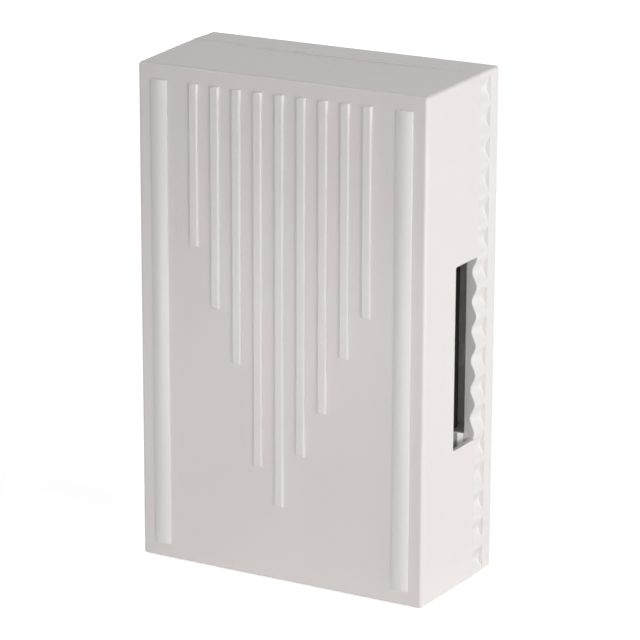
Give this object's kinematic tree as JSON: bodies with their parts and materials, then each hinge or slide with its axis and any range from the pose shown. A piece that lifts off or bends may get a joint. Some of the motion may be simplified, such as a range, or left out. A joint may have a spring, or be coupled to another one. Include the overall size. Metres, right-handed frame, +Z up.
{
  "type": "doorbell chime box",
  "caption": "White wall chime box: a ribbed front cover on a fluted base, with a sprung solenoid striker that slides between tuned steel plates.",
  "frame": {"origin": "centre of the flat back face, on the wall plane", "axes": "+X to the right seen from the front, +Y into the wall, +Z up"},
  "size_m": [0.125, 0.0577, 0.2],
  "materials": {
    "base_white": "satin moulded plastic",
    "cover_white": "satin moulded plastic",
    "tone_steel": "dark oiled rolled steel",
    "zinc_steel": "bright zinc plate",
    "yoke_steel": "zinc plated strip",
    "core_steel": "turned bright",
    "spring_steel": "drawn wire",
    "black_rubber": "matte",
    "natural_nylon": "natural, slightly glossy",
    "copper_wire": "enamelled",
    "amber_tape": "smooth film",
    "brown_resin": "moulded resin",
    "terminal_brass": "bright",
    "red_insulation": "soft sleeve",
    "white_insulation": "soft sleeve"
  },
  "bodies": {
    "base": {"base_tray": "base_white", "tone_plate_left": "tone_steel", "tone_plate_right": "tone_steel", "plate_grommets_left": "black_rubber", "plate_grommets_right": "black_rubber", "hanger_pins_left": "zinc_steel", "hanger_pins_right": "zinc_steel", "solenoid_yoke": "yoke_steel", "yoke_screws": "zinc_steel", "coil_bobbin": "natural_nylon", "coil_winding": "copper_wire", "coil_tape": "amber_tape", "return_spring": "spring_steel", "terminal_block": "brown_resin", "block_screw": "zinc_steel", "terminal_clamps": "terminal_brass", "terminal_screws": "terminal_brass", "lead_wire_left": "red_insulation", "lead_wire_right": "white_insulation", "cable_grommet": "black_rubber"},
    "striker": {"armature": "core_steel", "striker_rod_left": "natural_nylon", "striker_rod_right": "natural_nylon", "striker_tip_left": "black_rubber", "striker_tip_right": "black_rubber"},
    "cover": {"front_cover": "cover_white"}
  },
  "joints": [
    {"name": "striker_slide", "type": "slide", "parent": "base", "child": "striker", "axis": [1, 0, 0], "range_m": [-0.0019, 0.0059], "stiffness_N_per_m": 100, "deforming": ["return_spring"]},
    {"name": "cover_pull", "type": "slide", "parent": "base", "child": "cover", "axis": [0, -1, 0], "range_m": [0, 0.06]}
  ]
}
